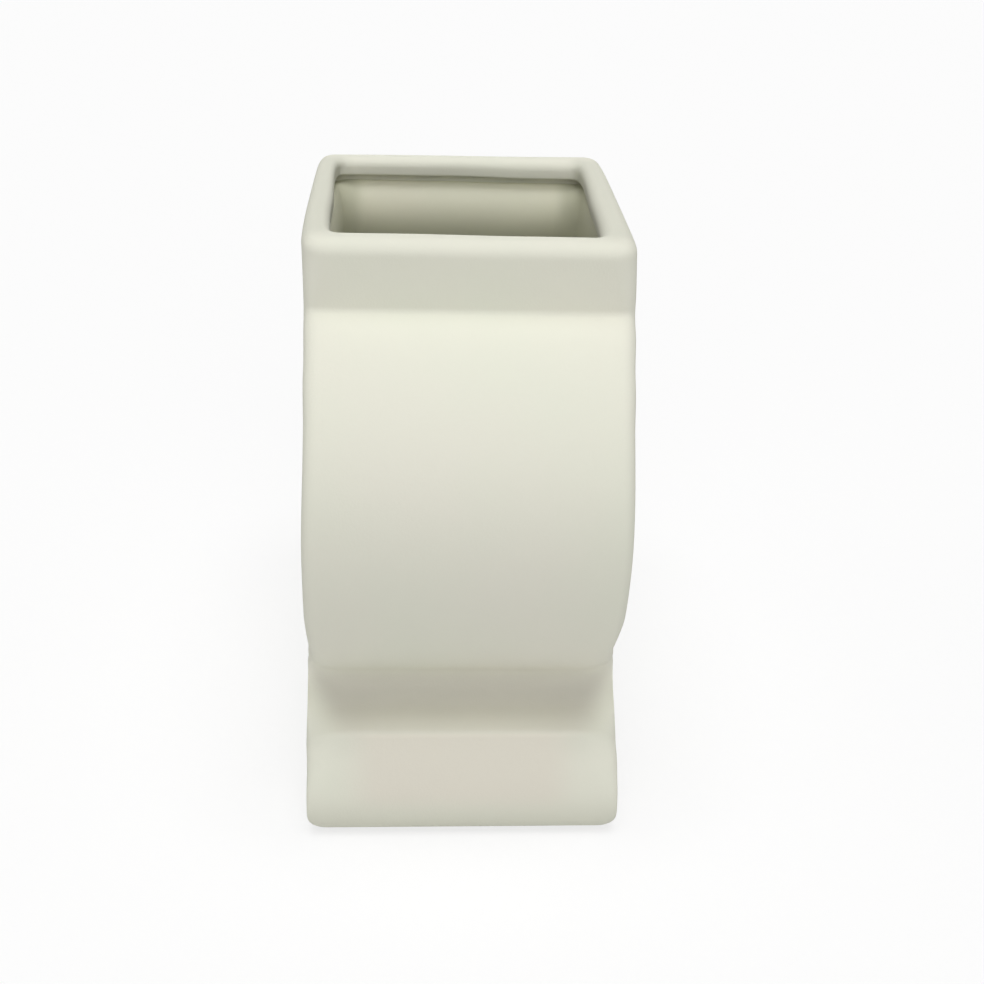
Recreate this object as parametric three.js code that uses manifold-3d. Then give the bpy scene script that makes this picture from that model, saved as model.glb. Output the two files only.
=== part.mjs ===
// Pedestal vase in matte cast ceramic.
// One side profile (box collar, round-fronted belly, waist and flared foot) is carried straight across
// the width between two flat cheeks, and every edge is softly rounded.
// The shell is made as three sections that are luted together with slip, with a glaze inside
// and four soft pads under the foot.
// Millimetres, +Z up, +X across the width, the front towards -Y, origin on the table under the middle.
import * as THREE from 'three';
import { mergeVertices } from 'three/addons/utils/BufferGeometryUtils.js';
import Module from 'manifold-3d';

// Body
const bodyWidth = 100;
const wallThickness = 5;
const floorThickness = 6.5;
const edgeRounding = 6.5; // between the profile and the cheeks
const insideRounding = 6; // the same edges inside the hollow

// Collar and mouth
const collarDepth = 108; // front to back
const collarHeight = 21.5; // from the crease up to the rim
const rimRounding = 5;
const lipWidth = 9.6; // the rim stands inwards past the wall, at the front and the back
const lipSideWidth = 10; // the same along the cheeks
const lipThickness = 6.3;
const lipRounding = 4.5; // edge of the mouth
const mouthCornerRadius = 4.5;

// Belly
const bellyDepth = 187; // front to back, at the widest
const bellyRadius = 71.5; // bend of its front and its back
const bellyRise = 64.7; // from the foot's ledge up to the widest place
const coveRadius = 7.5; // hollow between the belly and the ledge
const coveSpread = 0.8; // how fast the cove widens deeper inside the wall

// Foot
const footDepth = 175.6; // front to back, at its upper edge
const footHeight = 35.3; // from the underside up to the ledge
const footFlare = 12.3; // how far the foot's lower corner stands out past its upper edge
const ledgeRounding = 2.5;
const leastLedge = 3; // the ledge is never narrower than this
const baseRise = 30; // the foot's face starts to turn under this far up from its lower corner
const baseReach = 10.2; // and is flat on the underside this far in from the corner
const baseShare = 0.82; // the most of the face that turns under
const standWidth = 16; // flat border that is left round the recessed underside
const baseRecess = 1.5;
const recessCornerRadius = 9;

// Luting joints, glaze and pads
const jointGap = 0.3; // bed of slip between two sections
const glazeThickness = 0.8;
const glazeGap = 0.3;
const padRadius = 5;
const padThickness = 1.5;
const padGap = 0.3;
const padRounding = 0.4;
const padInset = 2.5; // from a pad's rim to the edge of the flat border

// Facets
const cornerSteps = 3;
const baseSteps = 7;
const lipSteps = 4;
const coveSteps = 5;
const bellySteps = 15;
const edgeSteps = 4;
const padSides = 24;
const leastRadius = 0.3;
const trimMargin = 10; // by which a cutter passes the body

// Heights and half depths that follow from the sizes above
const undersideHeight = padThickness;
const ledgeHeight = undersideHeight + footHeight;
const halfWidth = bodyWidth / 2;
const bellyCentre = ledgeHeight + bellyRise;
const bendHalf = bellyDepth / 2 - bellyRadius; // the centres of the two bends lie this far from the middle
const collarHalf = collarDepth / 2;
const creaseHeight = bellyCentre + Math.sqrt(bellyRadius ** 2 - (collarHalf - bendHalf) ** 2);
const rimHeight = creaseHeight + collarHeight;
const lipUnderside = rimHeight - lipThickness;

// The cove a given distance inside the outer surface: it touches the ledge from above and the belly
// from outside.
function coveAt(inset) {
  const radius = coveRadius + coveSpread * inset;
  const height = ledgeHeight - inset + radius;
  const drop = bellyCentre - height;
  const reach = Math.sqrt((bellyRadius - inset + radius) ** 2 - drop ** 2);
  return { radius, height, half: bendHalf + reach, angle: Math.atan2(drop, reach) };
}

const outerCove = coveAt(0);
const seatHeight = bellyCentre - bellyRadius * Math.sin(outerCove.angle); // where the belly sits on the foot
const footTopHalf = Math.max(footDepth / 2, outerCove.half + leastLedge);
const footBottomHalf = footTopHalf + footFlare;
const flareAngle = Math.atan2(footFlare, footHeight);
const standHalfWidth = halfWidth - edgeRounding;
const standHalfDepth = footBottomHalf - baseReach;

const wasm = await Module();
wasm.setup();

function arc(centreY, centreZ, radius, from, to, steps) {
  const points = [];
  for (let i = 0; i <= steps; i += 1) {
    const angle = from + (to - from) * (i / steps);
    const y = centreY + radius * Math.cos(angle);
    const z = centreZ + radius * Math.sin(angle);
    points.push(new THREE.Vector2(y, z));
  }
  return points;
}

// A rounded corner between two straight lines
function fillet(before, corner, after, radius, steps) {
  const back = before.clone().sub(corner).normalize();
  const ahead = after.clone().sub(corner).normalize();
  const halfAngle = Math.acos(back.dot(ahead)) / 2;
  const inward = back.clone().add(ahead).normalize();
  const centre = corner.clone().addScaledVector(inward, radius / Math.sin(halfAngle));
  const tangent = radius / Math.tan(halfAngle);
  const first = corner.clone().addScaledVector(back, tangent).sub(centre).angle();
  const last = corner.clone().addScaledVector(ahead, tangent).sub(centre).angle();
  const turn = Math.atan2(Math.sin(last - first), Math.cos(last - first));
  return arc(centre.x, centre.y, radius, first, first + turn, steps);
}

// A corner that leaves the first line tightly and runs slowly into the second
function softCorner(before, corner, after, reach, rise, steps) {
  const back = before.clone().sub(corner).setLength(reach);
  const ahead = after.clone().sub(corner).setLength(rise);
  const points = [];
  for (let i = 0; i <= steps; i += 1) {
    const angle = (i / steps) * (Math.PI / 2);
    const point = corner.clone();
    point.addScaledVector(back, 1 - Math.sin(angle));
    point.addScaledVector(ahead, 1 - Math.cos(angle));
    points.push(point);
  }
  return points;
}

// The side profile drawn a given distance inside the outer surface, anticlockwise from the floor,
// with x standing for the depth and y for the height.
function sideOutline(inset, floor, top, leastRounding) {
  const rounding = (radius) => Math.max(radius - inset, leastRounding);
  const faceShift = inset / Math.cos(flareAngle);
  const faceAt = (height) => {
    const rise = height - undersideHeight;
    return footBottomHalf - rise * Math.tan(flareAngle) - faceShift;
  };
  const ledge = ledgeHeight - inset;
  const baseCorner = new THREE.Vector2(faceAt(floor), floor);
  const ledgeCorner = new THREE.Vector2(faceAt(ledge), ledge);
  const cove = coveAt(inset);
  const coveFoot = new THREE.Vector2(cove.half, ledge);
  const bendRadius = bellyRadius - inset;
  const collarFace = collarHalf - inset;
  const creaseAngle = Math.acos((collarFace - bendHalf) / bendRadius);
  const hollow = arc(cove.half, cove.height, cove.radius, 1.5 * Math.PI, Math.PI - cove.angle, coveSteps);
  const bend = arc(bendHalf, bellyCentre, bendRadius, -cove.angle, creaseAngle, bellySteps);
  const crease = bend[bend.length - 1];
  const rimCorner = new THREE.Vector2(collarFace, top);
  const floorMiddle = new THREE.Vector2(0, floor);
  const topMiddle = new THREE.Vector2(0, top);
  const rise = Math.min(rounding(baseRise), baseShare * baseCorner.distanceTo(ledgeCorner));
  const half = [
    ...softCorner(floorMiddle, baseCorner, ledgeCorner, rounding(baseReach), rise, baseSteps),
    ...fillet(baseCorner, ledgeCorner, coveFoot, rounding(ledgeRounding), cornerSteps),
    ...hollow,
    ...bend.slice(1),
    ...fillet(crease, rimCorner, topMiddle, rounding(rimRounding), cornerSteps),
  ];
  const mirrored = half.map((point) => new THREE.Vector2(-point.x, point.y)).reverse();
  return [...half, ...mirrored];
}

// A rectangle with round corners, anticlockwise seen from above
function roundedRectangle(halfX, halfY, radius) {
  const corners = [[1, -1, -0.5], [1, 1, 0], [-1, 1, 0.5], [-1, -1, 1]];
  return corners.flatMap(([signX, signY, quarter]) => {
    const from = quarter * Math.PI;
    return arc(signX * (halfX - radius), signY * (halfY - radius), radius, from, from + Math.PI / 2, edgeSteps);
  });
}

// A closed surface through rings of equal counts; each ring runs anticlockwise seen from the last one
function loft(rings, flatten) {
  const count = rings[0].length;
  const positions = rings.flatMap((ring) => ring.flatMap((point) => point.toArray()));
  const indices = [];
  for (let k = 0; k + 1 < rings.length; k += 1) {
    for (let j = 0; j < count; j += 1) {
      const a = k * count + j;
      const b = k * count + ((j + 1) % count);
      indices.push(a, b, b + count, a, b + count, a + count);
    }
  }
  const closeEnd = (ring, start, flip) => {
    const faces = THREE.ShapeUtils.triangulateShape(ring.map(flatten), []);
    for (const [a, b, c] of faces) {
      const corners = flip ? [a, c, b] : [a, b, c];
      indices.push(...corners.map((corner) => corner + start));
    }
  };
  closeEnd(rings[0], 0, true);
  closeEnd(rings[rings.length - 1], (rings.length - 1) * count, false);
  const geometry = new THREE.BufferGeometry();
  geometry.setAttribute('position', new THREE.Float32BufferAttribute(positions, 3));
  geometry.setIndex(indices);
  return geometry;
}

// The profile carried across the width, with a quarter round along both cheeks
function carriedAcross(outlineAt, half, rounding) {
  const ringAt = (x, inset) => outlineAt(inset).map((point) => new THREE.Vector3(x, point.x, point.y));
  const rightSide = [];
  const leftSide = [];
  for (let i = 0; i <= edgeSteps; i += 1) {
    const angle = (i / edgeSteps) * (Math.PI / 2);
    const inset = rounding * (1 - Math.cos(angle));
    const x = half - rounding * (1 - Math.sin(angle));
    rightSide.push(ringAt(x, inset));
    leftSide.unshift(ringAt(-x, inset));
  }
  return loft([...leftSide, ...rightSide], (point) => new THREE.Vector2(point.y, point.z));
}

// Rounded rectangles stacked up; each layer has its height, half sizes and corner radius
function stacked(layers) {
  const rings = layers.map(({ height, halfX, halfY, radius }) => (
    roundedRectangle(halfX, halfY, radius).map((point) => new THREE.Vector3(point.x, point.y, height))
  ));
  return loft(rings, (point) => new THREE.Vector2(point.x, point.y));
}

function toSolid(geometry) {
  const bare = geometry.clone();
  bare.deleteAttribute('normal');
  bare.deleteAttribute('uv');
  const merged = mergeVertices(bare, 1e-4);
  return new wasm.Manifold(new wasm.Mesh({
    numProp: 3,
    vertProperties: new Float32Array(merged.attributes.position.array),
    triVerts: new Uint32Array(merged.index.array),
  }));
}

function toGeometry(solid) {
  const mesh = solid.getMesh();
  const geometry = new THREE.BufferGeometry();
  geometry.setAttribute('position', new THREE.BufferAttribute(mesh.vertProperties, 3));
  geometry.setIndex(new THREE.BufferAttribute(mesh.triVerts, 1));
  const faceted = geometry.toNonIndexed();
  faceted.computeVertexNormals();
  return faceted;
}

// A level slice of space, wider and deeper than the whole body
function levelSlice(bottom, top) {
  const width = bodyWidth + 2 * trimMargin;
  const depth = 2 * footBottomHalf + bellyDepth;
  const box = new THREE.BoxGeometry(width, depth, top - bottom);
  box.translate(0, 0, (top + bottom) / 2);
  return toSolid(box);
}

// The hollow a given distance inside the inner wall, running up past the rim
function hollowForm(clearance) {
  const inset = wallThickness + clearance;
  const floor = undersideHeight + floorThickness + clearance;
  const roomInFoot = ledgeHeight - inset - floor;
  const rounding = Math.min(insideRounding, 0.35 * roomInFoot);
  const outlineAt = (more) => (
    sideOutline(inset + more, floor + more, rimHeight + trimMargin, 0.3 * rounding + leastRadius)
  );
  return toSolid(carriedAcross(outlineAt, halfWidth - inset, rounding));
}

// The mouth, rounded over at its upper edge
function mouthForm() {
  const halfX = halfWidth - lipSideWidth;
  const halfY = collarHalf - lipWidth;
  const layer = (height, outset) => (
    { height, halfX: halfX + outset, halfY: halfY + outset, radius: mouthCornerRadius + outset }
  );
  const layers = [layer(lipUnderside - trimMargin, 0)];
  for (let i = 0; i <= lipSteps; i += 1) {
    const angle = (i / lipSteps) * (Math.PI / 2);
    const height = rimHeight - lipRounding * (1 - Math.sin(angle));
    layers.push(layer(height, lipRounding * (1 - Math.cos(angle))));
  }
  layers.push(layer(rimHeight + trimMargin, lipRounding));
  return toSolid(stacked(layers));
}

// The recess under the foot, which leaves a flat border to stand on
function recessForm() {
  const size = {
    halfX: standHalfWidth - standWidth,
    halfY: standHalfDepth - standWidth,
    radius: recessCornerRadius,
  };
  const top = undersideHeight + baseRecess;
  return toSolid(stacked([{ height: undersideHeight - trimMargin, ...size }, { height: top, ...size }]));
}

function shellForm() {
  const outlineAt = (inset) => sideOutline(inset, undersideHeight + inset, rimHeight - inset, leastRadius);
  const outer = toSolid(carriedAcross(outlineAt, halfWidth, edgeRounding));
  const hollow = hollowForm(0).intersect(levelSlice(undersideHeight, lipUnderside));
  return outer.subtract(hollow).subtract(mouthForm()).subtract(recessForm());
}

function glazeForm() {
  const outside = hollowForm(glazeGap);
  const inside = hollowForm(glazeGap + glazeThickness);
  return outside.subtract(inside).intersect(levelSlice(undersideHeight, lipUnderside - glazeGap));
}

function padGeometry() {
  const top = padThickness - padGap;
  const profile = [
    new THREE.Vector2(0, 0),
    new THREE.Vector2(padRadius - padRounding, 0),
    new THREE.Vector2(padRadius, padRounding),
    new THREE.Vector2(padRadius, top),
    new THREE.Vector2(0, top),
  ];
  const pad = new THREE.LatheGeometry(profile, padSides);
  pad.rotateX(Math.PI / 2);
  return pad;
}

const matteCeramic = () => new THREE.MeshStandardMaterial({ color: 0xe8e8d9, roughness: 0.85, metalness: 0 });
const insideGlaze = () => new THREE.MeshStandardMaterial({ color: 0xe6e3d2, roughness: 0.4, metalness: 0 });
const softPad = () => new THREE.MeshStandardMaterial({ color: 0xd9d8d0, roughness: 0.7, metalness: 0 });

const vase = new THREE.Group();

function addPiece(name, geometry, material) {
  const mesh = new THREE.Mesh(geometry, material);
  mesh.name = name;
  vase.add(mesh);
  return mesh;
}

// Three sections of the shell, from the rim down to the foot
const shell = shellForm();
const halfGap = jointGap / 2;
const sections = [
  { name: 'rim_collar', bottom: creaseHeight + halfGap, top: rimHeight + trimMargin },
  { name: 'belly_drum', bottom: seatHeight + halfGap, top: creaseHeight - halfGap },
  { name: 'pedestal_foot', bottom: undersideHeight - trimMargin, top: seatHeight - halfGap },
];
for (const { name, bottom, top } of sections) {
  const section = shell.intersect(levelSlice(bottom, top));
  addPiece(name, toGeometry(section), matteCeramic());
}

addPiece('glaze_lining', toGeometry(glazeForm()), insideGlaze());

// One pad near each corner of the flat border
const padX = standHalfWidth - padInset - padRadius;
const padY = standHalfDepth - padInset - padRadius;
for (const [endName, signY] of [['front', -1], ['back', 1]]) {
  for (const [sideName, signX] of [['left', -1], ['right', 1]]) {
    const pad = addPiece(`foot_pad_${endName}_${sideName}`, padGeometry(), softPad());
    pad.position.set(signX * padX, signY * padY, 0);
  }
}

export default vase;
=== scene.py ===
import math

import bmesh
import bpy
from mathutils import Matrix, Vector


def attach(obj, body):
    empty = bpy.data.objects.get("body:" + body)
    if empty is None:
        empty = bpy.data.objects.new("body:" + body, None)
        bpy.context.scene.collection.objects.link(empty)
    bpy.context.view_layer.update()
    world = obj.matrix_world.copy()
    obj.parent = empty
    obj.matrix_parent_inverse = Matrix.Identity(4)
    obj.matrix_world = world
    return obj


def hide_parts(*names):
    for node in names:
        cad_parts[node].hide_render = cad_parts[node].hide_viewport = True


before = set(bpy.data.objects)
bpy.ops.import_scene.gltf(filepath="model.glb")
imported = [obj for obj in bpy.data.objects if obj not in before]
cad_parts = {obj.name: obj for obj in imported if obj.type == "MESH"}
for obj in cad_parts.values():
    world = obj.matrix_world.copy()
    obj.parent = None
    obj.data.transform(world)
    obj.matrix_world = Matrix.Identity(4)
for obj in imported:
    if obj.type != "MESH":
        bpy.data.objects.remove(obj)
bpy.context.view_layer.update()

mm = 0.001
scene = bpy.context.scene
scene.view_settings.view_transform = "Standard"

# Sizes of the cast body in millimetres, y from the middle to the front or back, z up.
# The short tables pair a height with a value, and cheekFoot pairs y with z.
castBody = {
    "cheekHalf": (
        (0, 50.4), (14, 50.25), (24, 50.0), (44, 49.85), (49, 49.85), (54, 49.2), (62, 48.4),
        (80, 49.25), (98, 49.15), (138, 48.4), (152, 48.95), (164, 49.9), (187, 49.8),
    ),
    "cheekMiddle": ((0, 50.4), (38, 49.6), (104, 48.5), (164, 49.6), (187, 50.55)),
    "sideShift": (
        (0, 0.65), (24, 0.5), (44, 0.0), (62, -0.4), (80, -0.05), (138, 0.0), (152, 0.08),
        (165, 0.5), (187, 0.0),
    ),
    "edgeRound": (
        (0, 4.2), (16, 6.0), (28, 9.0), (38, 19.0), (46, 14.0), (55, 8.0), (66, 4.8), (168, 4.8),
        (187, 8.0),
    ),
    "cheekFoot": (  # the edge of the cheek from the pinch down to the foot
        (67.9, 53.1), (67.3, 51.6), (67.2, 50.0), (67.8, 47.4), (69.4, 44.4), (72.0, 41.2),
        (75.4, 38.0), (78.7, 34.8), (81.8, 31.4), (84.5, 27.8), (85.7, 26.0),
    ),
    "readShare": 0.6,  # the tables are read this far from the profile to the cheek's edge
    "waver": 0.3,  # how much of the hand-made waver the body shows
    "wall": 5.0,
    "underside": 1.5,
    "ledge": 36.8,
    "ledgeHalf": 87.8,
    "ledgeSlope": 2.0,
    "ledgeRound": 2.5,
    "leastRound": 0.3,
    "footFlare": 12.3,  # run of the foot's face from ledge to underside, before it is rounded
    "baseRise": 30.0,  # the face turns under over this rise and this reach
    "baseReach": 10.2,
    "baseCorner": 0.9,  # share of the edge's rounding that is left where the foot turns under
    "turnShare": 0.5,  # the edge is fully rounded after this share of the turn
    "edgePull": 1.35,  # above 1 it crowds the points of the cheek's edge towards the foot
    "hollowRound": 4.0,
    "cove": 7.5,
    "coveSpread": 0.8,  # growth of the cove's radius for each millimetre of inset
    "seatDrop": 2.0,  # the cheek's level line lies this far below the belly's seat
    "bellyCentre": 101.5,
    "bellyRadius": 71.5,
    "bendHalf": 22.0,  # the belly bends about lines this far before and behind the middle
    "collarHalf": 54.0,
    "creaseRound": 2.0,
    "rim": 186.94,
    "pinchAngle": 46.5,  # degrees below level at which the cheek's edge leaves the belly
    "steps": {
        "turn": 16, "hollowTurn": 10, "face": 8, "ledgeRound": 8, "ledge": 5, "cove": 22,
        "belly": 84, "crease": 8, "between": 12,
    },
}


def blend(first, last, share):
    return first + (last - first) * share


def ease(table, at):
    # smooth reading of a short table of (height, value)
    if at <= table[0][0]:
        return table[0][1]
    for (low, first), (high, second) in zip(table, table[1:]):
        if at <= high:
            share = (at - low) / (high - low)
            return blend(first, second, share * share * (3 - 2 * share))
    return table[-1][1]


def cheekSink(height):
    # how far the middle of the cheek lies inside its edge
    return ease(castBody["cheekHalf"], height) - ease(castBody["cheekMiddle"], height)


def arcRun(centre, radius, first, last, steps):
    angles = [blend(first, last, i / steps) for i in range(steps + 1)]
    return [(centre[0] + radius * math.cos(a), centre[1] + radius * math.sin(a)) for a in angles]


def lineRun(first, last, steps):
    # points crowd towards both ends, so that flats keep their flat shading
    shares = [0.5 - 0.5 * math.cos(math.pi * i / steps) for i in range(steps + 1)]
    return [(blend(first[0], last[0], s), blend(first[1], last[1], s)) for s in shares]


def filletRun(before, corner, after, radius, steps):
    back = (Vector(before) - Vector(corner)).normalized()
    ahead = (Vector(after) - Vector(corner)).normalized()
    half = math.acos(max(-1, min(1, back.dot(ahead)))) / 2
    centre = Vector(corner) + (back + ahead).normalized() * (radius / math.sin(half))
    start = Vector(corner) + back * (radius / math.tan(half)) - centre
    end = Vector(corner) + ahead * (radius / math.tan(half)) - centre
    first = math.atan2(start.y, start.x)
    turn = math.atan2(end.y, end.x) - first
    turn = math.atan2(math.sin(turn), math.cos(turn))
    return arcRun(centre, radius, first, first + turn, steps)


def softRun(before, corner, after, reachBack, reachAhead, steps):
    # a corner that leaves the first line over one reach and joins the second over another
    back = (Vector(before) - Vector(corner)).normalized() * reachBack
    ahead = (Vector(after) - Vector(corner)).normalized() * reachAhead
    run = []
    for i in range(steps + 1):
        angle = i / steps * math.pi / 2
        point = Vector(corner) + back * (1 - math.sin(angle)) + ahead * (1 - math.cos(angle))
        run.append(tuple(point))
    return run


def evenRun(table, shares):
    # a smooth run through the table's points, read at the given shares of its length
    steps = castBody["steps"]["between"]
    hair = 1e-9  # takes up the rounding of the sums
    final = len(table) - 1
    fine = []
    for i in range(final):
        p0, p1, p2, p3 = (Vector(table[min(max(i + k, 0), final)]) for k in (-1, 0, 1, 2))
        for step in range(steps):
            t = step / steps
            fine.append(0.5 * (2 * p1 + (p2 - p0) * t + (2 * p0 - 5 * p1 + 4 * p2 - p3) * t ** 2
                               + (3 * p1 - p0 - 3 * p2 + p3) * t ** 3))
    fine.append(Vector(table[-1]))
    lengths = [0.0]
    for first, second in zip(fine, fine[1:]):
        lengths.append(lengths[-1] + (second - first).length)
    run = []
    for share in shares:
        goal = share * lengths[-1]
        i = max(k for k in range(len(fine) - 1) if lengths[k] <= goal + hair)
        part = (goal - lengths[i]) / (lengths[i + 1] - lengths[i])
        run.append(tuple(fine[i].lerp(fine[i + 1], part)))
    return run


def lengthShares(points):
    lengths = [0.0]
    for first, second in zip(points, points[1:]):
        lengths.append(lengths[-1] + math.dist(first, second))
    return [length / lengths[-1] for length in lengths]


def coveAt(depth):
    # the hollow that touches the sloping ledge from above and the belly from outside
    body = castBody
    slope = math.radians(body["ledgeSlope"])
    outward = Vector((math.sin(slope), math.cos(slope)))
    inward = Vector((-math.cos(slope), math.sin(slope)))
    radius = body["cove"] + body["coveSpread"] * depth
    start = Vector((body["ledgeHalf"], body["ledge"])) + outward * (radius - depth)
    offset = start - Vector((body["bendHalf"], body["bellyCentre"]))
    reach = body["bellyRadius"] - depth + radius
    along = offset.dot(inward)
    run = -along - math.sqrt(along ** 2 - offset.length_squared + reach ** 2)
    centre = start + inward * run
    seat = math.atan2(body["bellyCentre"] - centre.y, centre.x - body["bendHalf"])
    return radius, centre, seat, slope


def sideRuns(inset, floor, seatAngle=None):
    # the side profile a given distance inside the outer surface, from the floor up to the crease
    body, steps = castBody, castBody["steps"]
    flare = math.atan2(body["footFlare"], body["ledge"] - body["underside"])
    coveRadius, coveCentre, coveAngle, slope = coveAt(inset)
    outward = Vector((math.sin(slope), math.cos(slope)))

    def faceAt(z):
        return body["ledgeHalf"] + (body["ledge"] - z) * math.tan(flare) - inset / math.cos(flare)

    # where the foot's face meets the ledge at this depth
    ledgeLine = Vector((body["ledgeHalf"], body["ledge"])) - inset * outward
    gap = faceAt(ledgeLine.y) - ledgeLine.x
    drop = gap * math.tan(slope) / (1 - math.tan(slope) * math.tan(flare))
    ledgeCorner = (faceAt(ledgeLine.y - drop), ledgeLine.y - drop)
    baseCorner = (faceAt(floor), floor)
    coveFoot = tuple(coveCentre - coveRadius * outward)
    middle = (0, floor)
    if inset:
        turn = filletRun(middle, baseCorner, ledgeCorner, body["hollowRound"], steps["hollowTurn"])
    else:
        reach, rise = body["baseReach"], body["baseRise"]
        turn = softRun(middle, baseCorner, ledgeCorner, reach, rise, steps["turn"])
    ledgeRound = max(body["ledgeRound"] - inset, body["leastRound"])
    shoulder = filletRun(baseCorner, ledgeCorner, coveFoot, ledgeRound, steps["ledgeRound"])
    hollow = arcRun(coveCentre, coveRadius, 1.5 * math.pi - slope, math.pi - coveAngle, steps["cove"])

    bend = body["bellyRadius"] - inset
    bendCentre = (body["bendHalf"], body["bellyCentre"])
    crease = body["creaseRound"] + inset
    collar = body["collarHalf"] - inset
    creaseRun = collar + crease - body["bendHalf"]
    creaseRise = math.sqrt((bend + crease) ** 2 - creaseRun ** 2)
    creaseAngle = math.atan2(creaseRise, creaseRun)
    creaseCentre = (collar + crease, body["bellyCentre"] + creaseRise)
    start = -(coveAngle if seatAngle is None else seatAngle)
    belly = arcRun(bendCentre, bend, start, creaseAngle, steps["belly"])
    nook = arcRun(creaseCentre, crease, math.pi + creaseAngle, math.pi, steps["crease"])
    foot = turn[-1:] + lineRun(turn[-1], shoulder[0], steps["face"])[1:] + shoulder[1:]
    foot += lineRun(shoulder[-1], hollow[0], steps["ledge"])[1:] + hollow[1:]
    return {"turn": turn, "foot": foot, "belly": belly + nook[1:]}


def ring(point, edge, half, rounding, level=None, sink=0.0, wobble=castBody["waver"],
         twist=0.0, spread=0.0, shift=0.0):
    # one point of a profile and how it is carried round the body
    return {
        "point": point,
        "cheekEdge": edge,
        "halfWidth": half,
        "edgeRound": rounding,
        "cheekLevel": edge[1] if level is None else level,
        "cheekSink": sink,
        "sideShift": ease(castBody["sideShift"], point[1]) + shift,
        "wobble": wobble,
        "backTwist": twist,
        "backSpread": spread,
    }


def skinRings(inset, floor, rounding=None):
    # rings of one skin of the wall: its floor turn, its foot part and its belly part
    body = castBody
    outside = rounding is None

    def roundingAt(z):
        return ease(body["edgeRound"], z) if outside else rounding

    depth = roundingAt(body["bellyCentre"])
    seatAngle = math.radians(body["pinchAngle"]) if outside else None
    plain = sideRuns(inset, floor)
    deep = sideRuns(inset + depth, floor + depth, seatAngle)
    if outside:
        shares = [share ** body["edgePull"] for share in lengthShares(plain["foot"])]
        deep["foot"] = evenRun(body["cheekFoot"][::-1], shares)
        deep["foot"][-1] = deep["belly"][0]

    # the cheek's edge runs on down to the floor line and turns under there
    last, above = deep["foot"][:2]
    firstRound = roundingAt(floor)
    corner = body["baseCorner"] * firstRound
    low = plain["turn"][0][0] - corner
    lean = (above[0] - last[0]) / (above[1] - last[1])
    edgeCorner = (last[0] - lean * (last[1] - floor), floor)
    steps = len(plain["turn"]) - 1
    reach, rise = edgeCorner[0] - low, math.dist(edgeCorner, last)
    edgeTurn = softRun((0, floor), edgeCorner, last, reach, rise, steps)
    rings = {"turn": [], "foot": [], "belly": []}
    for i, (point, edge) in enumerate(zip(plain["turn"], edgeTurn)):
        share = i / steps
        grown = math.sin(min(share / body["turnShare"], 1) * math.pi / 2)
        height = blend(point[1], edge[1], body["readShare"])
        half = ease(body["cheekHalf"], height) - inset - firstRound * (1 - grown)
        turned = blend(corner, roundingAt(point[1]), grown)
        sink = cheekSink(height) * share
        rings["turn"].append(ring(point, edge, half, turned, sink=sink, wobble=body["waver"] * share))

    seat = plain["foot"][-1][1] - body["seatDrop"]
    levels = {"foot": (last[1], seat), "belly": (seat, plain["belly"][-1][1])}
    for part, (start, end) in levels.items():
        count = len(plain[part]) - 1
        for i, (point, edge) in enumerate(zip(plain[part], deep[part])):
            height = blend(point[1], edge[1], body["readShare"])
            half = ease(body["cheekHalf"], height) - inset
            level = blend(start, end, i / count)
            rings[part].append(ring(point, edge, half, roundingAt(point[1]), level, cheekSink(height)))
    return rings


def addNode(tree, kind, **settings):
    node = tree.nodes.new(kind)
    for name, value in settings.items():
        setattr(node, name, value)
    return node


def feed(tree, socket, value):
    if isinstance(value, bpy.types.NodeSocket):
        tree.links.new(value, socket)
    else:
        socket.default_value = value


def calc(tree, operation, *values, clamp=False):
    node = addNode(tree, "ShaderNodeMath", operation=operation, use_clamp=clamp)
    for socket, value in zip(node.inputs, values):
        feed(tree, socket, value)
    return node.outputs[0]


def addSockets(tree, inOut, kind, *names):
    for name in names:
        tree.interface.new_socket(name=name, in_out=inOut, socket_type="NodeSocket" + kind)


meshCare = {"weld": 0.000002, "speck": 0.000001, "sharp": 35.0}  # metres and degrees


def finishPiece(tree, shape, finish, result):
    real = addNode(tree, "GeometryNodeRealizeInstances")
    feed(tree, real.inputs[0], shape)
    painted = addNode(tree, "GeometryNodeSetMaterial")
    feed(tree, painted.inputs["Geometry"], real.outputs[0])
    feed(tree, painted.inputs["Material"], finish)
    feed(tree, result, painted.outputs[0])


def makePlain(piece, tree, values):
    # runs the tree on the piece, keeps the result as a plain mesh and takes the modifier off
    modifier = piece.modifiers.new("shape", "NODES")
    modifier.node_group = tree
    for item in tree.interface.items_tree:
        if item.item_type == "SOCKET" and item.in_out == "INPUT" and item.name in values:
            modifier[item.identifier] = values[item.name]
    graph = bpy.context.evaluated_depsgraph_get()
    mesh = bpy.data.meshes.new_from_object(piece.evaluated_get(graph), depsgraph=graph)
    piece.modifiers.remove(modifier)
    piece.data = mesh
    mesh.name = piece.name
    work = bmesh.new()
    work.from_mesh(mesh)
    bmesh.ops.dissolve_degenerate(work, dist=meshCare["speck"], edges=work.edges[:])
    bmesh.ops.recalc_face_normals(work, faces=work.faces[:])
    work.to_mesh(mesh)
    work.free()
    mesh.set_sharp_from_angle(angle=math.radians(meshCare["sharp"]))
    print(piece.name, len(mesh.vertices), "points,", len(mesh.polygons), "faces")
    return piece


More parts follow.
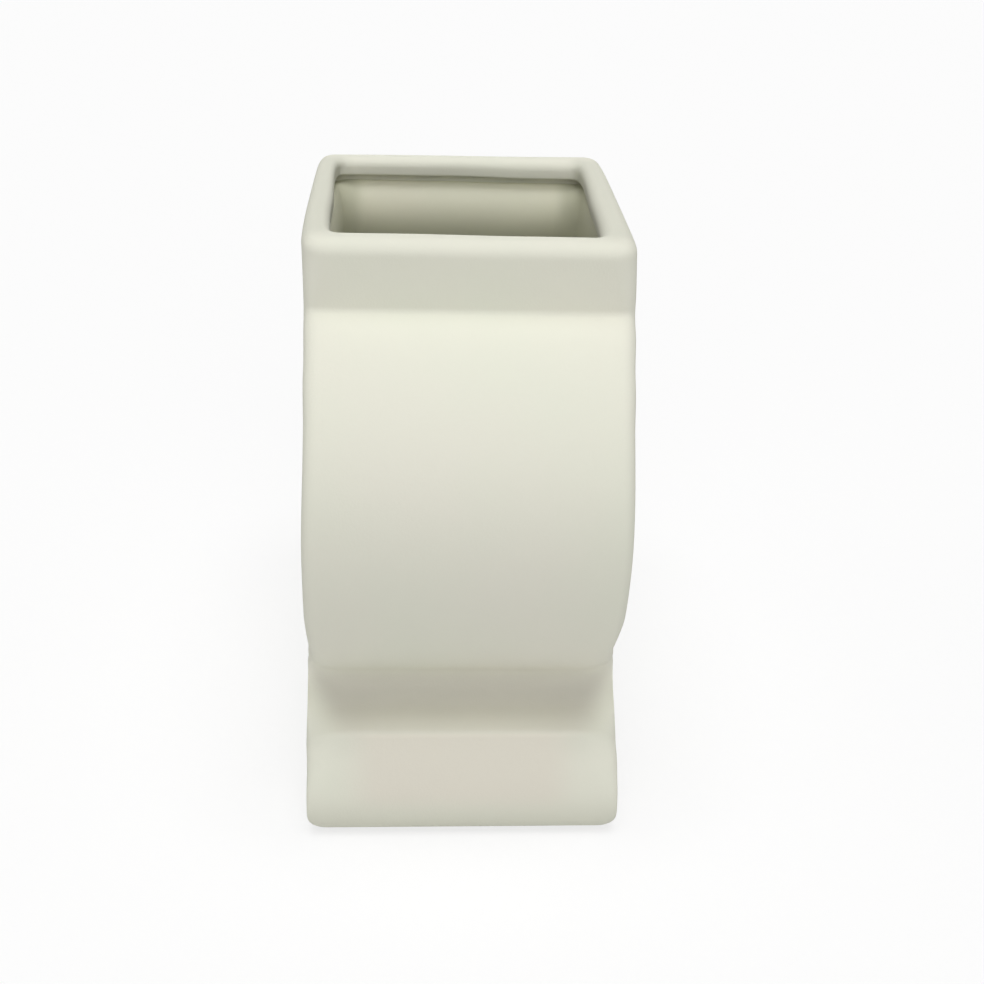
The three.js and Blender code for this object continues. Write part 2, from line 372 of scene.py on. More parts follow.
# Repeats one profile round the body: along the front, round the edge, across the cheek, four times over
def buildRingTree():
    tree = bpy.data.node_groups.new("profileRings", "GeometryNodeTree")
    tree.is_modifier = True
    addSockets(tree, "INPUT", "Geometry", "Profile")
    addSockets(tree, "INPUT", "Int", "Front Steps", "Edge Steps", "Cheek Steps")
    addSockets(tree, "INPUT", "Float", "Waver", "Waver Scale", "Waver Seed")
    addSockets(tree, "INPUT", "Material", "Finish")
    addSockets(tree, "OUTPUT", "Geometry", "Piece")
    given = addNode(tree, "NodeGroupInput").outputs
    result = addNode(tree, "NodeGroupOutput").inputs
    frontSteps, edgeSteps, cheekSteps = (given[name + " Steps"] for name in ("Front", "Edge", "Cheek"))

    points = addNode(tree, "GeometryNodeAttributeDomainSize", component="MESH")
    feed(tree, points.inputs["Geometry"], given["Profile"])
    quarter = calc(tree, "ADD", calc(tree, "ADD", frontSteps, edgeSteps), cheekSteps)
    around = calc(tree, "MULTIPLY_ADD", quarter, 4.0, 1.0)
    grid = addNode(tree, "GeometryNodeMeshGrid")
    feed(tree, grid.inputs["Vertices X"], points.outputs["Point Count"])
    feed(tree, grid.inputs["Vertices Y"], around)

    index = addNode(tree, "GeometryNodeInputIndex").outputs["Index"]
    row = calc(tree, "FLOOR", calc(tree, "DIVIDE", index, around))
    column = calc(tree, "SUBTRACT", index, calc(tree, "MULTIPLY", row, around))

    # the four quarters are front right, back right, back left and front left
    turn = calc(tree, "FLOOR", calc(tree, "DIVIDE", column, quarter))
    step = calc(tree, "SUBTRACT", column, calc(tree, "MULTIPLY", turn, quarter))
    odd = calc(tree, "MODULO", turn, 2.0)
    back = calc(tree, "SUBTRACT", quarter, calc(tree, "MULTIPLY", step, 2.0))
    along = calc(tree, "MULTIPLY_ADD", odd, back, step)  # counted from the middle of the front or back
    sideX = calc(tree, "MULTIPLY_ADD", calc(tree, "GREATER_THAN", turn, 1.5), -2.0, 1.0)
    fromMiddle = calc(tree, "ABSOLUTE", calc(tree, "SUBTRACT", turn, 1.5))
    sideY = calc(tree, "MULTIPLY_ADD", calc(tree, "LESS_THAN", fromMiddle, 1.0), 2.0, -1.0)

    def sample(name, kind="FLOAT"):
        node = addNode(tree, "GeometryNodeSampleIndex", data_type=kind, domain="POINT")
        feed(tree, node.inputs["Geometry"], given["Profile"])
        if name == "position":
            value = addNode(tree, "GeometryNodeInputPosition").outputs["Position"]
        else:
            named = addNode(tree, "GeometryNodeInputNamedAttribute", data_type=kind)
            named.inputs["Name"].default_value = name
            value = named.outputs["Attribute"]
        feed(tree, node.inputs["Value"], value)
        feed(tree, node.inputs["Index"], row)
        return node.outputs["Value"]

    face = calc(tree, "DIVIDE", calc(tree, "MINIMUM", along, frontSteps), frontSteps)
    faceLeft = calc(tree, "SUBTRACT", 1.0, face)
    flat = calc(tree, "SUBTRACT", 1.0, calc(tree, "POWER", faceLeft, 2.0))  # close steps next to the edge
    past = calc(tree, "SUBTRACT", along, frontSteps)
    turned = calc(tree, "DIVIDE", past, edgeSteps, clamp=True)
    angle = calc(tree, "MULTIPLY", turned, math.pi / 2)
    drop = calc(tree, "SUBTRACT", 1.0, calc(tree, "COSINE", angle))
    cheek = calc(tree, "DIVIDE", calc(tree, "SUBTRACT", past, edgeSteps), cheekSteps, clamp=True)
    across = calc(tree, "POWER", cheek, 2.0)
    acrossLeft = calc(tree, "SUBTRACT", 1.0, across)

    outer = sample("position", "FLOAT_VECTOR")
    edge = sample("cheekEdge", "FLOAT_VECTOR")
    between = addNode(tree, "ShaderNodeMix", data_type="VECTOR")
    openSockets = [s for s in between.inputs if s.enabled]
    for socket, value in zip(openSockets, (drop, outer, edge)):
        feed(tree, socket, value)
    split = addNode(tree, "ShaderNodeSeparateXYZ")
    feed(tree, split.inputs[0], [s for s in between.outputs if s.enabled][0])
    half = sample("halfWidth")
    rounding = sample("edgeRound")
    level = sample("cheekLevel")
    sinkWave = calc(tree, "SINE", calc(tree, "MULTIPLY", cheek, math.pi / 2))
    sunk = calc(tree, "MULTIPLY", sample("cheekSink"), sinkWave)
    x = calc(tree, "MULTIPLY", calc(tree, "SUBTRACT", half, rounding), flat)
    x = calc(tree, "MULTIPLY_ADD", rounding, calc(tree, "SINE", angle), x)
    x = calc(tree, "SUBTRACT", x, sunk)
    y = calc(tree, "MULTIPLY", split.outputs["Y"], acrossLeft)
    rise = calc(tree, "SUBTRACT", level, split.outputs["Z"])
    z = calc(tree, "MULTIPLY_ADD", rise, across, split.outputs["Z"])
    signedX = calc(tree, "MULTIPLY", x, sideX)

    # the back of the rim stands a little askew
    behind = calc(tree, "MULTIPLY", calc(tree, "GREATER_THAN", sideY, 0.0), acrossLeft)
    skew = calc(tree, "MULTIPLY", calc(tree, "DIVIDE", signedX, half), behind)
    spreadX = calc(tree, "MULTIPLY_ADD", skew, sample("backSpread"), signedX)
    place = addNode(tree, "ShaderNodeCombineXYZ")
    feed(tree, place.inputs["X"], calc(tree, "ADD", spreadX, sample("sideShift")))
    feed(tree, place.inputs["Y"], calc(tree, "MULTIPLY", y, sideY))
    feed(tree, place.inputs["Z"], calc(tree, "MULTIPLY_ADD", skew, sample("backTwist"), z))

    # the slight waver of a body cast and smoothed by hand
    noise = addNode(tree, "ShaderNodeTexNoise", noise_dimensions="4D")
    feed(tree, noise.inputs["Vector"], place.outputs[0])
    feed(tree, noise.inputs["W"], given["Waver Seed"])
    feed(tree, noise.inputs["Scale"], given["Waver Scale"])
    noise.inputs["Detail"].default_value = 1.0
    centred = addNode(tree, "ShaderNodeVectorMath", operation="SUBTRACT")
    feed(tree, centred.inputs[0], noise.outputs["Color"])
    centred.inputs[1].default_value = (0.5, 0.5, 0.5)
    scaled = addNode(tree, "ShaderNodeVectorMath", operation="SCALE")
    feed(tree, scaled.inputs[0], centred.outputs[0])
    feed(tree, scaled.inputs["Scale"], calc(tree, "MULTIPLY", given["Waver"], sample("wobble")))
    moved = addNode(tree, "ShaderNodeVectorMath", operation="ADD")
    feed(tree, moved.inputs[0], place.outputs[0])
    feed(tree, moved.inputs[1], scaled.outputs[0])

    shaped = addNode(tree, "GeometryNodeSetPosition")
    feed(tree, shaped.inputs["Geometry"], grid.outputs["Mesh"])
    feed(tree, shaped.inputs["Position"], moved.outputs[0])
    closed = addNode(tree, "GeometryNodeMergeByDistance")
    feed(tree, closed.inputs["Geometry"], shaped.outputs[0])
    closed.inputs["Distance"].default_value = meshCare["weld"]
    smooth = addNode(tree, "GeometryNodeSetShadeSmooth")
    feed(tree, smooth.inputs["Geometry"], closed.outputs[0])
    finishPiece(tree, smooth.outputs[0], given["Finish"], result[0])
    return tree


ringTree = buildRingTree()
carrying = {
    "Front Steps": 12,
    "Edge Steps": 10,
    "Cheek Steps": 12,
    "Waver": 1.6 * mm,
    "Waver Scale": 22.0,
    "Waver Seed": 3.0,
}


def carryRings(name, rings, finish):
    profile = bpy.data.meshes.new(name + "Profile")
    profile.from_pydata([(0, r["point"][0] * mm, r["point"][1] * mm) for r in rings], [], [])
    edges = profile.attributes.new("cheekEdge", "FLOAT_VECTOR", "POINT")
    edges.data.foreach_set("vector", [v * mm for r in rings for v in (0, *r["cheekEdge"])])
    for key in rings[0]:
        if key not in ("point", "cheekEdge"):
            unit = 1 if key == "wobble" else mm  # wobble is a share, the others are lengths
            values = profile.attributes.new(key, "FLOAT", "POINT")
            values.data.foreach_set("value", [r[key] * unit for r in rings])
    piece = bpy.data.objects.new(name, profile)
    scene.collection.objects.link(piece)
    return makePlain(piece, ringTree, dict(carrying, Finish=finish))


# Finishes: a tone zone lies between rise and fall in height, inside ends across the width and
# outside deep from front to back, in millimetres. Slant moves ends outwards with the height.
# A pair of ends or deep given backwards keeps its other side.
alwaysPassed = (-2.0, -1.0)  # a ramp that is over before the vase begins
neverReached = (200.0, 201.0)  # a ramp that lies beyond it


def toneZone(rise=alwaysPassed, fall=neverReached, ends=neverReached, slant=0.0, deep=alwaysPassed):
    return {"rise": rise, "fall": fall, "ends": ends, "slant": slant, "deep": deep}


toneZones = {
    # Flare: painted shade on the cheeks' corners beside the waist notch, near the front and back
    "Flare": toneZone(rise=(25.0, 36.0), fall=(41.0, 50.0), deep=(64.0, 70.0)),
    # Waist: painted shade, darker and a little pinker, in the recess between the belly and the foot's
    # ledge
    "Waist": toneZone(rise=(34.5, 38.0), fall=(41.0, 53.0), ends=(11.0, 23.0), slant=0.7),
    "Foot Face": toneZone(rise=(3.0, 18.0), fall=(35.5, 37.0), ends=(24.0, 42.0)),
    # Foot Base: painted shade all round the foot, darker towards the floor
    "Foot Base": toneZone(fall=(4.0, 20.0)),
    # painted shade in the glaze lining, darker deeper down the mouth
    "Pool": toneZone(fall=(157.0, 173.0)),
    # painted shade on the glaze lining's side walls inside the mouth
    "Side Pool": toneZone(ends=(40.0, 32.0)),
    # Rim Sides: painted shade on the rim's side lips, away from the front and back
    "Rim Sides": toneZone(rise=(177.0, 184.0), ends=(42.0, 36.0), deep=(53.0, 40.0)),
}
grainScales = ("Mottle Scale", "Grain Scale", "Ripple Scale", "Ripple Share")
mottleRange = (0.35, 0.65)


# noise for the clay's mottle, grain and ripple, and the masks of the tone zones where shade is painted
def clayGrainAndShadeGroup():
    group = bpy.data.node_groups.new("clayGrainAndShade", "ShaderNodeTree")
    addSockets(group, "INPUT", "Float", *grainScales)
    addSockets(group, "OUTPUT", "Float", "Mottle", "Height", "Dulling", *toneZones)
    given = addNode(group, "NodeGroupInput").outputs
    result = addNode(group, "NodeGroupOutput").inputs
    place = addNode(group, "ShaderNodeTexCoord").outputs["Object"]

    def noise(scale, detail):
        node = addNode(group, "ShaderNodeTexNoise")
        feed(group, node.inputs["Vector"], place)
        feed(group, node.inputs["Scale"], scale)
        node.inputs["Detail"].default_value = detail
        return node.outputs[0]

    mottle = noise(given["Mottle Scale"], detail=3.0)
    grain = noise(given["Grain Scale"], detail=4.0)
    ripple = noise(given["Ripple Scale"], detail=1.0)
    spread = addNode(group, "ShaderNodeMapRange")
    feed(group, spread.inputs["Value"], mottle)
    spread.inputs["From Min"].default_value = mottleRange[0]
    spread.inputs["From Max"].default_value = mottleRange[1]
    feed(group, result["Mottle"], spread.outputs[0])
    height = addNode(group, "ShaderNodeMix")
    feed(group, height.inputs["Factor"], given["Ripple Share"])
    feed(group, height.inputs["A"], grain)
    feed(group, height.inputs["B"], ripple)
    feed(group, result["Height"], height.outputs["Result"])
    feed(group, result["Dulling"], grain)

    split = addNode(group, "ShaderNodeSeparateXYZ")
    feed(group, split.inputs[0], place)

    def fade(value, first, last):
        ramp = addNode(group, "ShaderNodeMapRange", interpolation_type="SMOOTHERSTEP")
        feed(group, ramp.inputs["Value"], value)
        feed(group, ramp.inputs["From Min"], first * mm)
        feed(group, ramp.inputs["From Max"], last * mm)
        return ramp.outputs[0]

    side = calc(group, "ABSOLUTE", split.outputs["X"])
    front = calc(group, "ABSOLUTE", split.outputs["Y"])
    # each tone zone's mask, mostly where shade is painted into the colour
    for name, zone in toneZones.items():
        rising = fade(split.outputs["Z"], *zone["rise"])
        falling = fade(split.outputs["Z"], *zone["fall"])
        level = calc(group, "SUBTRACT", rising, falling)
        reach = calc(group, "MULTIPLY_ADD", split.outputs["Z"], -zone["slant"], side)
        inside = calc(group, "SUBTRACT", 1.0, fade(reach, *zone["ends"]))
        level = calc(group, "MULTIPLY", level, fade(front, *zone["deep"]))
        feed(group, result[name], calc(group, "MULTIPLY", level, inside))
    return group


clayGrainAndShade = clayGrainAndShadeGroup()


def finishMaterial(name, look):
    material = bpy.data.materials.new(name)
    material.use_nodes = True
    tree = material.node_tree
    shader = tree.nodes["Principled BSDF"]
    grain = addNode(tree, "ShaderNodeGroup", node_tree=clayGrainAndShade)
    for key in grainScales:
        grain.inputs[key].default_value = look[key]
    tint = addNode(tree, "ShaderNodeMix", data_type="RGBA")
    tint.inputs["A"].default_value = (*look["tintA"], 1)
    tint.inputs["B"].default_value = (*look["tintB"], 1)
    feed(tree, tint.inputs["Factor"], grain.outputs["Mottle"])
    colour = tint.outputs["Result"]
    # the tone zones wash painted shade, and the foot face's pinker tint, into the colour
    for zone, tone in look.get("tones", {}).items():
        wash = addNode(tree, "ShaderNodeMix", data_type="RGBA")
        feed(tree, wash.inputs["Factor"], grain.outputs[zone])
        feed(tree, wash.inputs["A"], colour)
        feed(tree, wash.inputs["B"], (*tone, 1))
        colour = wash.outputs["Result"]
    feed(tree, shader.inputs["Base Color"], colour)
    rough = addNode(tree, "ShaderNodeMapRange")
    feed(tree, rough.inputs["Value"], grain.outputs["Dulling"])
    rough.inputs["To Min"].default_value = look["roughness"][0]
    rough.inputs["To Max"].default_value = look["roughness"][1]
    feed(tree, shader.inputs["Roughness"], rough.outputs[0])
    bump = addNode(tree, "ShaderNodeBump")
    bump.inputs["Strength"].default_value = look["bump"]
    bump.inputs["Distance"].default_value = look["relief"] * mm
    feed(tree, bump.inputs["Height"], grain.outputs["Height"])
    feed(tree, shader.inputs["Normal"], bump.outputs[0])
    shader.inputs["Specular IOR Level"].default_value = look["specular"]
    return material


matteLook = {
    "tintA": (0.800, 0.806, 0.690), "tintB": (0.815, 0.802, 0.698),
    "Mottle Scale": 16.0, "Grain Scale": 1500.0, "Ripple Scale": 45.0, "Ripple Share": 0.35,
    "roughness": (0.78, 0.95), "bump": 0.35, "relief": 0.25, "specular": 0.3,
    # Tones for the outside: Flare, Waist, Foot Base and Rim Sides are painted shade; Foot Face is a
    # pinker, slightly darker tint in the middle of the foot's face
    "tones": {
        "Flare": (0.752, 0.752, 0.647),
        "Waist": (0.710, 0.690, 0.605),
        "Foot Face": (0.790, 0.755, 0.655),
        "Foot Base": (0.745, 0.745, 0.635),
        "Rim Sides": (0.720, 0.720, 0.618),
    },
}
glazeLook = {
    "tintA": (0.795, 0.795, 0.625), "tintB": (0.81, 0.795, 0.635),
    "Mottle Scale": 24.0, "Grain Scale": 420.0, "Ripple Scale": 80.0, "Ripple Share": 0.6,
    "roughness": (0.38, 0.55), "bump": 0.3, "relief": 0.2, "specular": 0.4,
    # the glaze tones are painted shade: deeper down the mouth and on the inner side walls
    "tones": {"Side Pool": (0.63, 0.63, 0.485), "Pool": (0.61, 0.61, 0.465)},
}
padLook = {
    "tintA": (0.69, 0.68, 0.62), "tintB": (0.72, 0.71, 0.65),
    "Mottle Scale": 120.0, "Grain Scale": 2600.0, "Ripple Scale": 500.0, "Ripple Share": 0.5,
    "roughness": (0.62, 0.8), "bump": 0.4, "relief": 0.1, "specular": 0.3,
}
matteCeramic = finishMaterial("matteCeramic", matteLook)
insideGlaze = finishMaterial("insideGlaze", glazeLook)
softPad = finishMaterial("softPad", padLook)
print("finishes done")

# Outer and inner skin of the shell
wallLook = {"floor": 8.0, "rounding": 6.0}
outerSkin = skinRings(0.0, castBody["underside"])
innerSkin = skinRings(castBody["wall"], wallLook["floor"], wallLook["rounding"])

# Collar: upright face, rounded rim, lip standing inwards over the mouth
collarLook = {
    "rimRound": 5.0,
    "sideRound": 4.3,
    "rimTwist": 0.8,  # the back of the rim rises this much to its right end and falls to its left one
    "rimSpread": -0.2,  # and is this much wider at each end, or narrower below 0
    "leastCorner": 0.4,
    "lipFront": 10.35,
    "lipSide": 9.85,
    "lipDeep": 6.3,
    "underRound": 0.9,
    "mouthShift": -0.8,  # below 0, the mouth lies left of the middle
    "mouthSpread": 2.0,
    "mouthRound": 3.6,
    "cornerRadius": 2.6,
    "mouthBow": 1.9,  # its sides bow outwards this far
    "mouthWobble": 0.9,
    "faceSteps": 7,
    "rimSteps": 10,
    "mouthSteps": 8,
    "underSteps": 5,
    "wallSteps": 4,
}


def quarterTurn(steps, first=0):
    # for each ring of a quarter round, the share it has gone one way and has still to go the other
    angles = [i / steps * math.pi / 2 for i in range(first, steps + 1)]
    return [(1 - math.cos(angle), 1 - math.sin(angle)) for angle in angles]


def collarRings():
    look = collarLook
    depth, rim = castBody["collarHalf"], castBody["rim"]
    width = ease(castBody["cheekHalf"], rim)
    start = outerSkin["belly"][-1]
    low = start["point"][1]
    top, sideTop = rim - look["rimRound"], rim - look["sideRound"]
    rings = [start]
    for y, z in lineRun((depth, low), (depth, top), look["faceSteps"])[1:]:
        share = (z - low) / (top - low)
        rounding = ease(castBody["edgeRound"], z)
        sideZ = blend(low, sideTop, share)
        half = ease(castBody["cheekHalf"], sideZ)
        twist, spread = look["rimTwist"] * share, look["rimSpread"] * share
        edge = (y - rounding, sideZ)
        rings.append(ring((y, z), edge, half, rounding, sink=cheekSink(sideZ), twist=twist, spread=spread))
    rounding = ease(castBody["edgeRound"], top)
    bow = cheekSink(rim)

    def lipRing(point, edge, half, corner, share):
        # what sets the mouth apart from the rim grows from ring to ring across the lip
        return ring(
            point, edge, half, corner,
            sink=blend(bow, -look["mouthBow"], share),
            wobble=blend(castBody["waver"], look["mouthWobble"], share),
            twist=look["rimTwist"] * (1 - share),
            spread=blend(look["rimSpread"], look["mouthSpread"], share),
            shift=look["mouthShift"] * share,
        )

    for i, (gone, toGo) in enumerate(quarterTurn(look["rimSteps"], 1), 1):
        y, z = depth - look["rimRound"] * gone, rim - look["rimRound"] * toGo
        sideZ = rim - look["sideRound"] * toGo
        corner = max(rounding - look["rimRound"] * gone, look["leastCorner"])
        half = width - look["sideRound"] * gone
        rings.append(lipRing((y, z), (y - corner, sideZ), half, corner, 0.5 * i / look["rimSteps"]))
    mouthY, mouthX = depth - look["lipFront"], width - look["lipSide"]

    def mouthRing(outset, z, share=1.0):
        corner = look["cornerRadius"] + outset
        y = mouthY + outset
        return lipRing((y, z), (y - corner, z), mouthX + outset, corner, share)

    for i, (gone, toGo) in enumerate(quarterTurn(look["mouthSteps"])):
        share = 0.5 + 0.5 * i / look["mouthSteps"]
        rings.append(mouthRing(look["mouthRound"] * toGo, rim - look["mouthRound"] * gone, share))
    under = rim - look["lipDeep"]
    for gone, toGo in quarterTurn(look["underSteps"]):
        rings.append(mouthRing(look["underRound"] * gone, under + look["underRound"] * toGo))

    # below the lip, the inner wall back down to the joint
    last = innerSkin["belly"][-1]
    wallY, wallLow = last["point"]
    wallRound = wallLook["rounding"]
    for y, z in lineRun((wallY, under), (wallY, wallLow), look["wallSteps"])[:-1]:
        half = ease(castBody["cheekHalf"], z) - castBody["wall"]
        rings.append(ring((y, z), (y - wallRound, z), half, wallRound))
    return rings + [last, start]


rimCollar = carryRings("rimCollar", collarRings(), matteCeramic)

# Belly: the outer skin up, the inner skin down and back to the start
bellyRings = outerSkin["belly"] + innerSkin["belly"][::-1] + outerSkin["belly"][:1]
bellyShell = carryRings("bellyShell", bellyRings, matteCeramic)

# Foot: recessed underside, flat border, flared face, ledge and cove, then the hollow inside
footLook = {"recess": 1.5, "border": 16.0, "recessCorner": 9.0, "recessRound": 0.6}


def underRings():
    first = outerSkin["turn"][0]
    inX = first["halfWidth"] - footLook["border"]
    inY = first["point"][0] - footLook["border"]
    low, high = castBody["underside"], castBody["underside"] + footLook["recess"]
    corner, soft = footLook["recessCorner"], footLook["recessRound"]

    def flatRing(grow, z):
        radius = corner + grow
        return ring((inY + grow, z), (inY + grow - radius, z), inX + grow, radius, wobble=0)

    middle = ring((0, high), (0, high), inX - corner, 0, wobble=0)
    sides = ((-soft, high), (0, high - soft), (0, low + soft), (soft, low))
    return [middle] + [flatRing(grow, z) for grow, z in sides]


def hollowRings(skin):
    # from the joint down the inside to the middle of the floor
    floor = skin["turn"][0]["point"][1]
    half = skin["turn"][0]["halfWidth"] - skin["turn"][0]["edgeRound"]
    middle = ring((0, floor), (0, floor), half, 0, wobble=0)
    return skin["foot"][::-1] + skin["turn"][-2::-1] + [middle]


footRings = underRings() + outerSkin["turn"] + outerSkin["foot"][1:] + hollowRings(innerSkin)
pedestalFoot = carryRings("pedestalFoot", footRings, matteCeramic)

# Glaze lining: a thin closed skin inside the hollow, with a thick rounded shoulder below the lip's groove
glazeShape = {
    "gap": 0.3,
    "thick": 0.8,
    "rounding": 5.5,
    "shoulder": 178.0,
    "shoulderFall": 12.0,
    "shoulderReach": 5.0,
    "throat": 10.7,
    "throatSide": 8.2,
    "throatCorner": 8.0,
    "throatFoot": 157.0,
    "throatUndercut": 1.6,
    "throatOverlap": 3.0,  # the inner skin starts this far below the throat's foot
    "wallSteps": 4,
    "shoulderSteps": 12,
    "throatSteps": 6,
}


def glazeRings():
    look = glazeShape
    runs = []
    for depth in (look["gap"], look["gap"] + look["thick"]):
        skin = skinRings(castBody["wall"] + depth, wallLook["floor"] + depth, look["rounding"])
        runs.append(hollowRings(skin)[::-1] + skin["belly"][1:])
    rings, inner = runs
    wallY, low = rings[-1]["point"]
    for y, z in lineRun((wallY, low), (wallY, look["shoulder"]), look["wallSteps"])[1:]:
        half = ease(castBody["cheekHalf"], z) - castBody["wall"] - look["gap"]
        rings.append(ring((y, z), (y - look["rounding"], z), half, look["rounding"]))

    # how far each ring of the throat stands back from its narrowest place, and its height
    shape = []
    for gone, toGo in quarterTurn(look["shoulderSteps"]):
        shape.append((look["shoulderReach"] * toGo, look["shoulder"] - look["shoulderFall"] * gone))
    narrow = look["shoulder"] - look["shoulderFall"]
    for i in range(1, look["throatSteps"] + 1):
        share = i / look["throatSteps"]
        shape.append((look["throatUndercut"] * share ** 2, blend(narrow, look["throatFoot"], share)))
    sideShare = (look["throatSide"] + look["shoulderReach"] - look["throat"]) / look["shoulderReach"]
    corner = look["throatCorner"]
    for out, z in shape:
        y = castBody["collarHalf"] - look["throat"] + out
        half = ease(castBody["cheekHalf"], z) - look["throatSide"] + out * sideShare
        rings.append(ring((y, z), (y - corner, z), half, corner))
    innerTop = look["throatFoot"] - look["throatOverlap"]
    return rings + [r for r in inner if r["point"][1] < innerTop][::-1]


glazeLining = carryRings("glazeLining", glazeRings(), insideGlaze)

# Pads: one rounded disc set out at the four corners of the border
padSet = {
    "sizes": {
        "Radius": 5.0 * mm, "Thick": 1.2 * mm, "Edge": 0.4 * mm, "Across": 72.0 * mm,
        "Along": 164.8 * mm,
    },
    "steps": {"Vertices": 40, "Side Segments": 12, "Fill Segments": 3},
}


def buildPadTree():
    tree = bpy.data.node_groups.new("padCorners", "GeometryNodeTree")
    tree.is_modifier = True
    addSockets(tree, "INPUT", "Geometry", "Start")
    addSockets(tree, "INPUT", "Float", *padSet["sizes"])
    addSockets(tree, "INPUT", "Material", "Finish")
    addSockets(tree, "OUTPUT", "Geometry", "Pads")
    given = addNode(tree, "NodeGroupInput").outputs
    result = addNode(tree, "NodeGroupOutput").inputs
    corners = addNode(tree, "GeometryNodeMeshGrid")
    feed(tree, corners.inputs["Size X"], given["Across"])
    feed(tree, corners.inputs["Size Y"], given["Along"])
    for name in ("Vertices X", "Vertices Y"):
        feed(tree, corners.inputs[name], 2)
    disc = addNode(tree, "GeometryNodeMeshCylinder")
    for name, count in padSet["steps"].items():
        feed(tree, disc.inputs[name], count)
    feed(tree, disc.inputs["Radius"], given["Radius"])
    feed(tree, disc.inputs["Depth"], given["Thick"])

    # the rim of the disc is drawn in near its two faces, and the disc stands on the floor
    split = addNode(tree, "ShaderNodeSeparateXYZ")
    feed(tree, split.inputs[0], addNode(tree, "GeometryNodeInputPosition").outputs[0])
    level = calc(tree, "ABSOLUTE", split.outputs["Z"])
    halfThick = calc(tree, "DIVIDE", given["Thick"], 2.0)
    flank = calc(tree, "SUBTRACT", halfThick, given["Edge"])
    share = calc(tree, "DIVIDE", calc(tree, "SUBTRACT", level, flank), given["Edge"], clamp=True)
    bulge = calc(tree, "SQRT", calc(tree, "SUBTRACT", 1.0, calc(tree, "MULTIPLY", share, share)))
    taken = calc(tree, "MULTIPLY", calc(tree, "SUBTRACT", 1.0, bulge), given["Edge"])
    shrink = calc(tree, "SUBTRACT", 1.0, calc(tree, "DIVIDE", taken, given["Radius"]))
    place = addNode(tree, "ShaderNodeCombineXYZ")
    feed(tree, place.inputs["X"], calc(tree, "MULTIPLY", split.outputs["X"], shrink))
    feed(tree, place.inputs["Y"], calc(tree, "MULTIPLY", split.outputs["Y"], shrink))
    feed(tree, place.inputs["Z"], calc(tree, "ADD", split.outputs["Z"], halfThick))
    rounded = addNode(tree, "GeometryNodeSetPosition")
    feed(tree, rounded.inputs["Geometry"], disc.outputs["Mesh"])
    feed(tree, rounded.inputs["Position"], place.outputs[0])
    smooth = addNode(tree, "GeometryNodeSetShadeSmooth")
    feed(tree, smooth.inputs["Geometry"], rounded.outputs[0])
    copies = addNode(tree, "GeometryNodeInstanceOnPoints")
    feed(tree, copies.inputs["Points"], corners.outputs["Mesh"])
    feed(tree, copies.inputs["Instance"], smooth.outputs[0])
    finishPiece(tree, copies.outputs[0], given["Finish"], result[0])
    return tree


footPads = bpy.data.objects.new("footPads", bpy.data.meshes.new("footPads"))
scene.collection.objects.link(footPads)
makePlain(footPads, buildPadTree(), dict(padSet["sizes"], Finish=softPad))

padNodes = ("foot_pad_front_left", "foot_pad_front_right", "foot_pad_back_left", "foot_pad_back_right")
for piece, nodes, slotName in (
    (rimCollar, ("rim_collar",), "matte_ceramic"),
    (bellyShell, ("belly_drum",), "matte_ceramic"),
    (pedestalFoot, ("pedestal_foot",), "matte_ceramic"),
    (glazeLining, ("glaze_lining",), "inside_glaze"),
    (footPads, padNodes, "soft_pad"),
):
    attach(piece, "root")
    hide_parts(*nodes)
print("pieces placed")

# Floor, light and camera
studio = {
    "floorHalf": 8.0,
    "floorBounce": 0.70,  # grey of the floor in the light that it throws back
    "floorSeen": 0.97,  # its grey where it is seen
    "floorGlow": 0.72,  # share of it that is seen as plain white
    "ambient": 0.02,
    "lampReach": 2.0,
    "lamps": {
        "key": {"strength": 2.06, "angle": 45.0, "height": 84.0, "side": 0.0},
        "frontFill": {"strength": 1.08, "angle": 40.0, "height": 28.0, "side": 0.0},
        "leftFill": {"strength": 0.36, "angle": 40.0, "height": 18.0, "side": -90.0},
        "rightFill": {"strength": 0.28, "angle": 40.0, "height": 18.0, "side": 90.0},
        "backFill": {"strength": 0.45, "angle": 40.0, "height": 12.0, "side": 180.0},
    },
}


def seenMask(tree):
    # one for what the camera sees, straight, in a gloss or through glass, and nothing for bounced light
    path = addNode(tree, "ShaderNodeLightPath").outputs
    mask = calc(tree, "MAXIMUM", path["Is Camera Ray"], path["Is Glossy Ray"])
    return calc(tree, "MAXIMUM", mask, path["Is Transmission Ray"])


def paleFloor():
    paint = bpy.data.materials.new("paleFloor")
    paint.use_nodes = True
    tree = paint.node_tree
    tree.nodes.clear()

    def greyDiffuse(value):
        shader = addNode(tree, "ShaderNodeBsdfDiffuse")
        shader.inputs["Color"].default_value = (value, value, value, 1)
        return shader.outputs[0]

    def mixShaders(share, first, second):
        mix = addNode(tree, "ShaderNodeMixShader")
        for socket, value in zip(mix.inputs, (share, first, second)):
            feed(tree, socket, value)
        return mix.outputs[0]

    bounce = greyDiffuse(studio["floorBounce"])
    glow = addNode(tree, "ShaderNodeEmission").outputs[0]
    pale = mixShaders(studio["floorGlow"], greyDiffuse(studio["floorSeen"]), glow)
    out = addNode(tree, "ShaderNodeOutputMaterial")
    feed(tree, out.inputs["Surface"], mixShaders(seenMask(tree), bounce, pale))
    return paint


floorMesh = bpy.data.meshes.new("floor")
reach = studio["floorHalf"]
floorCorners = [(-reach, -reach, 0), (reach, -reach, 0), (reach, reach, 0), (-reach, reach, 0)]
floorMesh.from_pydata(floorCorners, [], [(0, 1, 2, 3)])
floor = bpy.data.objects.new("floor", floorMesh)
scene.collection.objects.link(floor)
floorMesh.materials.append(paleFloor())

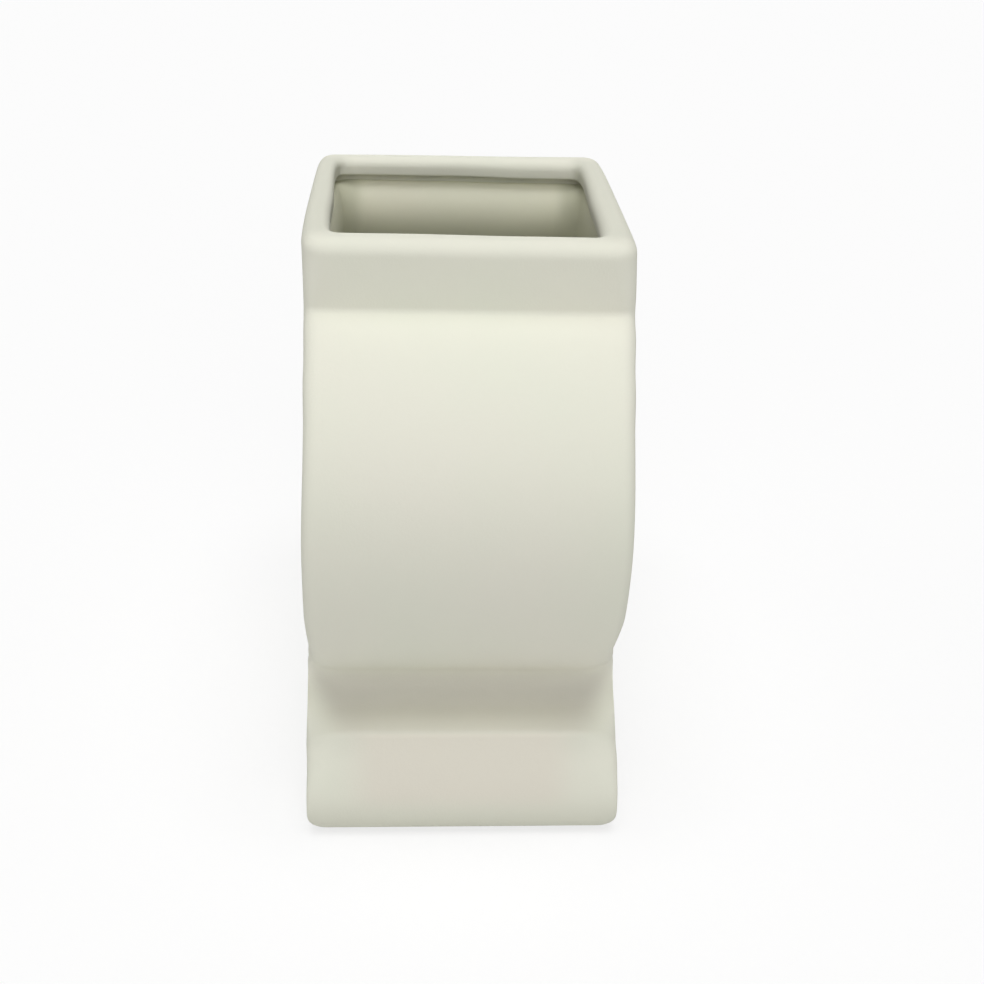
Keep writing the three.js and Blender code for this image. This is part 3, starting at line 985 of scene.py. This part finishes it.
world = bpy.data.worlds.new("studioWorld")
scene.world = world
world.use_nodes = True
worldTree = world.node_tree
sky = worldTree.nodes["Background"]
sky.inputs["Color"].default_value = (1, 1, 1, 1)
lift = calc(worldTree, "MULTIPLY_ADD", seenMask(worldTree), 1.0 - studio["ambient"], studio["ambient"])
feed(worldTree, sky.inputs["Strength"], lift)

for name, lampLook in studio["lamps"].items():
    lamp = bpy.data.lights.new(name, "SUN")
    lamp.energy = lampLook["strength"]
    lamp.angle = math.radians(lampLook["angle"])
    lampObject = bpy.data.objects.new(name, lamp)
    up, side = math.radians(lampLook["height"]), math.radians(lampLook["side"])
    towards = Vector((math.cos(up) * math.sin(side), -math.cos(up) * math.cos(side), math.sin(up)))
    lampObject.rotation_euler = towards.to_track_quat("Z", "Y").to_euler()
    lampObject.location = towards * studio["lampReach"]
    scene.collection.objects.link(lampObject)

# place and sensor in millimetres, angles in degrees, focal and imageSide in pixels, clipStart in metres
view = {
    "place": (-18.7, -449.2, 308.4), "pitch": 27.11, "yaw": 3.97, "roll": 2.21,
    "focal": 1402.0, "imageSide": 984, "sensor": 36.0, "clipStart": 0.01,
}


def viewAxes():
    pitch, yaw, roll = (math.radians(view[k]) for k in ("pitch", "yaw", "roll"))
    ahead = Vector((math.sin(yaw) * math.cos(pitch), math.cos(yaw) * math.cos(pitch), -math.sin(pitch)))
    right = Vector((math.cos(yaw), -math.sin(yaw), 0))
    upward = right.cross(ahead)
    turnedRight = right * math.cos(roll) + upward * math.sin(roll)
    turnedUp = upward * math.cos(roll) - right * math.sin(roll)
    return turnedRight, turnedUp, -ahead


lens = bpy.data.cameras.new("camera")
lens.sensor_width = view["sensor"]
lens.lens = view["sensor"] * view["focal"] / view["imageSide"]
lens.clip_start = view["clipStart"]
camera = bpy.data.objects.new("camera", lens)
scene.collection.objects.link(camera)
facing = Matrix(viewAxes()).transposed().to_4x4()
camera.matrix_world = Matrix.Translation(Vector(view["place"]) * mm) @ facing
scene.camera = camera
print("studio done")
